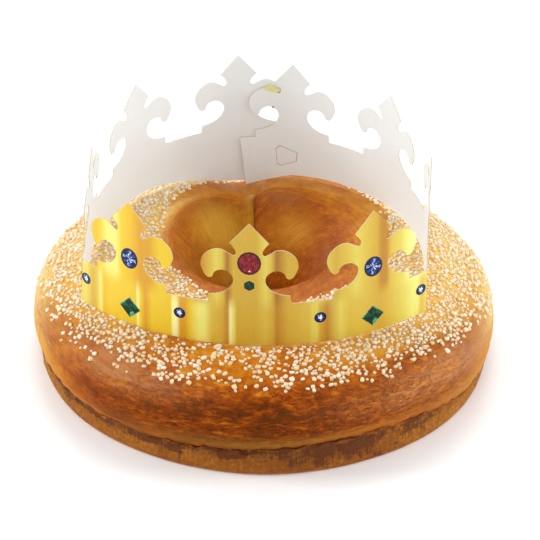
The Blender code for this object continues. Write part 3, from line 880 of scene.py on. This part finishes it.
def bend_and_place(bm, name):
    """Cuts flat work across where the card bends, keeps its flat place as UVs, and bends it."""
    steps = int(STRIP_HALF_LENGTH / BEND_STEP)
    cuts = {step * BEND_STEP for step in range(-steps, steps + 1)} | {-CREASE_AT, CREASE_AT}
    for cut in sorted(cuts):
        if not min(v.co.x for v in bm.verts) < cut < max(v.co.x for v in bm.verts):
            continue
        everything = bm.verts[:] + bm.edges[:] + bm.faces[:]
        bmesh.ops.bisect_plane(bm, geom=everything, dist=1e-5, plane_co=(cut, 0, 0), plane_no=(1, 0, 0))
    bmesh.ops.triangulate(bm, faces=bm.faces, ngon_method="BEAUTY")
    flat_place = bm.loops.layers.uv.new("strip")
    for face in bm.faces:
        for loop in face.loops:
            loop[flat_place].uv = (loop.vert.co.x / UV_UNIT, loop.vert.co.y / UV_UNIT)
    placed = crown_matrix()
    for vertex in bm.verts:
        vertex.co = placed @ bent(vertex.co)
    return finished_object(name, bm)


def card_crown():
    """The printed card: gold outside, bare inside and along its cut edges."""
    curve = strip_outline()
    flat = put_in_scene("flat_strip", curve)
    bpy.context.view_layer.update()
    mesh = bpy.data.meshes.new_from_object(flat.evaluated_get(bpy.context.evaluated_depsgraph_get()))
    bpy.data.objects.remove(flat)
    bpy.data.curves.remove(curve)
    bm = bmesh.new()
    bm.from_mesh(mesh)
    bpy.data.meshes.remove(mesh)
    bmesh.ops.remove_doubles(bm, verts=bm.verts, dist=1e-6)
    bmesh.ops.recalc_face_normals(bm, faces=bm.faces)
    bmesh.ops.dissolve_limit(bm, angle_limit=math.radians(1), verts=bm.verts, edges=bm.edges)
    bm.normal_update()
    for face in bm.faces:
        face.material_index = 0 if face.normal.z > 0.5 else 1 if face.normal.z < -0.5 else 2
    crown = bend_and_place(bm, "card_crown")
    for finish in (gold_finish(), bare_finish("bare_card", BARE_WHITE), bare_finish("cut_edge", CUT_BROWN)):
        crown.data.materials.append(finish)
    return crown


# The gold print: stripes up the card, the same again every three finials, and others above the band.
# Each is given by its place in millimetres from the middle of the repeat.
STRIPE_REPEAT = 210
STRIPE_START = 10.5  # repeats; the half puts the card's front at the middle of one
BAND_TO_FINIALS = (0.22, 0.34)  # in UVs, where the one print gives way to the other
BRIGHT = tone(242, 238, 156)
PALE = tone(230, 226, 118)
LIME = tone(220, 204, 88)
YELLOW = tone(229, 195, 48)
GOLD = tone(226, 182, 44)
CITRON = tone(214, 184, 68)
AMBER = tone(206, 167, 56)
OCHRE = tone(212, 156, 40)
BROWN = tone(186, 132, 42)
UMBER = tone(166, 108, 32)
BAND_STRIPES = (
    (-105, LIME), (-101, LIME), (-96, AMBER), (-93, CITRON), (-90, PALE), (-88, GOLD), (-83, YELLOW),
    (-66, YELLOW), (-65, BRIGHT), (-63, YELLOW), (-60, OCHRE), (-56, YELLOW), (-44.5, YELLOW),
    (-43.5, BRIGHT), (-41, BRIGHT), (-39, OCHRE), (-36, OCHRE), (-33, YELLOW), (-28, PALE), (-25, PALE),
    (-21, CITRON), (-15, AMBER), (-12, BROWN), (-10.5, BRIGHT), (-8, LIME), (-7, AMBER), (0, AMBER),
    (3, AMBER), (9, CITRON), (13, AMBER), (15, BROWN), (21, AMBER), (33, CITRON), (35, LIME), (37.5, LIME),
    (39, AMBER), (43, BROWN), (51, LIME), (56, CITRON), (64, CITRON), (75, AMBER), (82, CITRON),
    (89, LIME), (96, PALE), (99, PALE), (102, CITRON), (105, LIME),
)
FINIAL_STRIPES = (
    (-105, BRIGHT), (-98, CITRON), (-93, GOLD), (-90, YELLOW), (-85, PALE), (-79, PALE), (-75, YELLOW),
    (-69, GOLD), (-63, OCHRE), (-57, OCHRE), (-51, YELLOW), (-46, YELLOW), (-38, GOLD), (-27, BROWN),
    (-23, AMBER), (-18, LIME), (-15, CITRON), (-12, UMBER), (-9, AMBER), (0, AMBER), (4, AMBER),
    (6, CITRON), (9, LIME), (12, CITRON), (15, UMBER), (21, AMBER), (27, AMBER), (40, LIME), (48, AMBER),
    (54, CITRON), (60, LIME), (66, CITRON), (72, AMBER), (75, BROWN), (78, BROWN), (81, CITRON),
    (87, LIME), (91, PALE), (96, BRIGHT), (105, BRIGHT),
)
# The bare card: its inside, its cut edges, and the paler pulp that clouds both.
BARE_WHITE = tone(240, 248, 250)
CUT_BROWN = tone(190, 160, 96)
PULP_WHITE = tone(226, 226, 224)
PULP_FIBRES = (90, 240, 1)


def striped(s, along, stripes):
    """The stripes, in a ramp for each half of the repeat, as one ramp holds only 32 colours."""
    halves = []
    for half in (0, 1):
        places = [(2 * (at / STRIPE_REPEAT + 0.5) - half, hue) for at, hue in stripes]
        stops = [stop for stop in places if 0 <= stop[0] <= 1]
        halves.append(s.ramp(s.minus(s.times(along, 2), half), stops))
    return s.mix(s.math("GREATER_THAN", along, 0.5), *halves)


def gold_finish():
    s = Shading("gold_card")
    flat_place = s.strip_place()
    split = s.node("ShaderNodeSeparateXYZ", {"Vector": flat_place})
    along = s.times(split.outputs["X"], UV_UNIT / MILLIMETRE / STRIPE_REPEAT)
    along = s.math("FRACT", s.plus(along, STRIPE_START))
    low, high = striped(s, along, BAND_STRIPES), striped(s, along, FINIAL_STRIPES)
    colour = s.mix(s.band(split.outputs["Y"], *BAND_TO_FINIALS), low, high)
    grain = s.noise(flat_place, (60, 14, 1), detail=4)
    greys = s.ramp(grain, ((0.3, tone(225, 225, 225)), (0.7, tone(255, 255, 255))))
    waves = s.noise(flat_place, 9, detail=2)
    return s.finish(
        base_color=s.mix(0.2, colour, greys, "MULTIPLY"), roughness=0.34, specular_ior_level=0.25,
        coat_weight=0.12, coat_roughness=0.12, normal=s.bump(waves, 0.0012, strength=0.4),
    )


def bare_finish(name, colour):
    s = Shading(name)
    flat_place = s.strip_place()
    pulp = s.noise(flat_place, PULP_FIBRES, detail=5, roughness=0.65)
    cloud = s.noise(flat_place, 5)
    share = s.plus(s.times(pulp, 0.35), s.times(cloud, 0.35))
    return s.finish(
        base_color=s.mix(share, colour, PULP_WHITE), roughness=0.72, normal=s.bump(pulp, 0.0002)
    )


# ---- printed gems

PRINT_PROUD = 0.00005
INKS = {
    "maroon": (48, 4, 14), "wine": (92, 10, 22), "red": (132, 20, 34), "rose": (170, 52, 62),
    "glint": (248, 214, 214), "bottle": (4, 40, 30), "green": (10, 78, 52), "teal": (60, 146, 112),
    "navy": (12, 18, 56), "blue": (34, 54, 122), "sky": (112, 138, 194), "white": (190, 206, 236),
}
# Each gem: sides, half width and half height in millimetres, and rings from outside in, each as
# (outer share, inner share, inks that take turns round it).
RUBY = (16, 6.6, 7.6, (
    (1.0, 0.86, "maroon"), (0.86, 0.5, "red wine red red wine wine red wine"),
    (0.5, 0.0, "red wine wine red"),
))
RUBY_GLINT = (8, 1.0, 0.8, ((1.0, 0.5, "rose"), (0.5, 0.0, "glint")))
EMERALD_BEAD = (6, 3.2, 3.4, ((1.0, 0.55, "bottle"), (0.55, 0.0, "green bottle bottle")))
SAPPHIRE = (16, 5.5, 6.7, (
    (1.0, 0.8, "navy"), (0.8, 0.44, "blue navy navy sky navy blue navy sky"),
    (0.44, 0.0, "white navy sky blue navy navy sky navy blue white navy"),
))
EMERALD = (8, 6.8, 6.9, (
    (1.0, 0.86, "green teal green"),
    (0.86, 0.5, "bottle green bottle bottle teal bottle green bottle"),
    (0.5, 0.0, "bottle green bottle"),
))
SAPPHIRE_BEAD = (12, 3.5, 3.6, (
    (1.0, 0.66, "navy"), (0.66, 0.36, "blue sky navy blue navy"), (0.36, 0.0, "white"),
))
# The gems of every other finial, of those between and of the band, with heights in millimetres.
RUBY_FINIAL = ((RUBY, 55.3), (RUBY_GLINT, 50.2), (EMERALD_BEAD, 40.5))
SAPPHIRE_FINIAL = ((SAPPHIRE, 44.2), (EMERALD, 10.9))
BEAD_HEIGHT = 16.9
BEADS_ALONG = (-241, -179, -101.3, -39.3, 39.3, 101.3, 179, 241)


def lay_face(bm, corners, ink_and_painted_shade):
    for loop in bm.faces.new(corners).loops:
        loop[bm.loops.layers.float_color["ink_and_painted_shade"]] = ink_and_painted_shade


def lay_gem(bm, kind, along, up):
    sides, half_width, half_height, rings = kind

    def corner(step, share):
        angle = math.pi / 2 + math.tau * step / sides
        if kind is EMERALD and step % 2:
            share /= math.sqrt(2)  # an eight-sided fan whose outline is a square on its corner
        x = along + half_width * share * math.cos(angle)
        y = up + half_height * share * math.sin(angle)
        proud = PRINT_PROUD * (2 if kind is RUBY_GLINT else 1)
        return bm.verts.new((x * MILLIMETRE, y * MILLIMETRE, CARD / 2 + proud))

    for outer, inner, inks in rings:
        inks = inks.split()
        for step in range(sides):
            corners = [corner(step, outer), corner(step + 1, outer)]
            corners += [corner(step + 1, inner), corner(step, inner)] if inner else [corner(0, 0)]
            lay_face(bm, corners, tone(*INKS[inks[step % len(inks)]]))


def printed_jewels():
    """The gems on the outside of the card, as flat faces in their inks."""
    bm = bmesh.new()
    bm.loops.layers.float_color.new("ink_and_painted_shade")
    for tip in TIPS:
        for kind, up in SAPPHIRE_FINIAL if tip % 2 else RUBY_FINIAL:
            lay_gem(bm, kind, tip * TIP_PITCH / MILLIMETRE, up)
    for along in BEADS_ALONG:
        lay_gem(bm, SAPPHIRE_BEAD, along, BEAD_HEIGHT)
    jewels = bend_and_place(bm, "printed_jewels")
    s = Shading("printed_jewels")
    speck = s.noise(s.strip_place(), 130)
    colour = s.mix(1.0, s.attribute("ink_and_painted_shade", "Color"), s.band(speck, 0.36, 0.64, 0.35, 2.2), "MULTIPLY")
    finish = s.finish(
        base_color=colour, roughness=0.3, specular_ior_level=0.2, coat_weight=0.12, coat_roughness=0.1
    )
    jewels.data.materials.append(finish)
    return jewels


# ---- marks on the inside of the card

# Flat work near the card's right end: outlines in millimetres along and up.
TAB = ((288.2, 21.4), (290.4, 18.8), (289.6, 8.2), (287.2, 7.0), (278.2, 10.6), (277.6, 16.8))
# The tab's grey rim is painted shade in the cut round it.
TAB_SHADE_RIM = 0.07  # how far its shaded rim stands out, as a share of its size
GOLD_SLIVER = ((299.0, 63.6), (294.0, 66.4), (287.2, 62.4), (290.4, 60.0), (295.2, 61.4))
# The pinhole's dark dot is painted shade in the hole.
PINHOLE = ((291.6, 49.2), (292.8, 49.2), (292.8, 50.4), (291.6, 50.4))
# Outline, how much it is grown, how many layers it lies off the card, and ink, which for the tab's rim and
# the pinhole is painted shade.
TAB_WORK = (
    (TAB, TAB_SHADE_RIM, 1, tone(176, 168, 150)), (TAB, 0, 2, tone(236, 240, 240)),
    (GOLD_SLIVER, 0, 1, tone(226, 226, 150)), (PINHOLE, 0, 1, tone(96, 88, 76)),
)


def card_tab():
    bm = bmesh.new()
    bm.loops.layers.float_color.new("ink_and_painted_shade")
    for outline, grown, layer, ink_and_painted_shade in TAB_WORK:
        middle = [sum(values) / len(outline) for values in zip(*outline)]
        corners = []
        for point in reversed(outline):
            x, y = (at + (at - centre) * grown for at, centre in zip(point, middle))
            corners.append(bm.verts.new((x * MILLIMETRE, y * MILLIMETRE, -CARD / 2 - PRINT_PROUD * layer)))
        lay_face(bm, corners, ink_and_painted_shade)
    tab = bend_and_place(bm, "card_tab")
    s = Shading("card_tab")
    pulp = s.noise(s.strip_place(), PULP_FIBRES)
    colour = s.mix(s.times(pulp, 0.2), s.attribute("ink_and_painted_shade", "Color"), PULP_WHITE)
    tab.data.materials.append(s.finish(base_color=colour, roughness=0.72, normal=s.bump(pulp, 0.0002)))
    return tab


# ---- floor, lights and camera

FLOOR_HALF_WIDTH = 4
FLOOR_DROP = 0.0002
DAYLIGHT = 0.78
LIT_PLACE = Vector((0, 0, 0.05))
SOFT_LIGHTS = {  # place, size, power
    "left": ((-1.2, -0.1, 0.75), 0.45, 9),
    "right": ((1.2, -0.1, 0.65), 0.45, 8),
    "back": ((0.0, 0.9, 1.3), 0.9, 8),
    "front": ((-0.2, -1.4, 1.4), 0.6, 4.5),
}
CAMERA_PLACE = Vector((0.0, -1.2776, 0.8675))
CAMERA_AZIMUTH = math.radians(0.155)
CAMERA_DOWN = math.radians(32.624)
CAMERA_ROLL = math.radians(1.254)
CAMERA_LENS = 174.92
CAMERA_SENSOR = 36


def studio_floor():
    bm = bmesh.new()
    bmesh.ops.create_grid(bm, x_segments=2, y_segments=2, size=FLOOR_HALF_WIDTH)
    floor = finished_object("floor", bm)
    floor.location.z = -FLOOR_DROP
    s = Shading("floor")
    colour = s.mix(s.times(s.noise(s.place(), 3), 0.2), tone(246, 246, 246), tone(240, 240, 240))
    floor.data.materials.append(s.finish(base_color=colour, roughness=0.5))


def studio_light():
    world = bpy.data.worlds.new("studio")
    world.use_nodes = True
    background = world.node_tree.nodes["Background"]
    background.inputs["Color"].default_value = (1, 1, 1, 1)
    background.inputs["Strength"].default_value = DAYLIGHT
    bpy.context.scene.world = world
    bpy.context.scene.view_settings.view_transform = "Standard"
    for name, (place, size, power) in SOFT_LIGHTS.items():
        data = bpy.data.lights.new(name, "AREA")
        data.energy = power
        data.size = size
        light = put_in_scene(name, data)
        light.location = place
        light.rotation_euler = (LIT_PLACE - Vector(place)).to_track_quat("-Z", "Y").to_euler()


def camera():
    east, north = math.sin(CAMERA_AZIMUTH), math.cos(CAMERA_AZIMUTH)
    across = math.cos(CAMERA_DOWN)
    ahead = Vector((east * across, north * across, -math.sin(CAMERA_DOWN)))
    level = ahead.cross(Vector((0, 0, 1))).normalized()
    above = level.cross(ahead)
    right = level * math.cos(CAMERA_ROLL) + above * math.sin(CAMERA_ROLL)
    up = above * math.cos(CAMERA_ROLL) - level * math.sin(CAMERA_ROLL)
    data = bpy.data.cameras.new("camera")
    data.lens = CAMERA_LENS
    data.sensor_width = CAMERA_SENSOR
    made = put_in_scene("camera", data)
    made.matrix_world = Matrix((right, up, -ahead)).transposed().to_4x4()
    made.location = CAMERA_PLACE + ORIGIN_SHIFT
    bpy.context.scene.camera = made


# ---- putting it together

crown = card_crown()
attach(crown, "root")
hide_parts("crown")
card = surface_of(crown)

jewels = printed_jewels()
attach(jewels, "root")

tab = card_tab()
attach(tab, "root")

crust = crust_mesh(card)
crust.data.materials.append(crust_finish())
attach(crust, "root")
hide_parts("brioche")

sugar = strew_sugar(crust, card)
sugar.data.materials.append(sugar_finish())
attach(sugar, "root")

studio_floor()
studio_light()
camera()
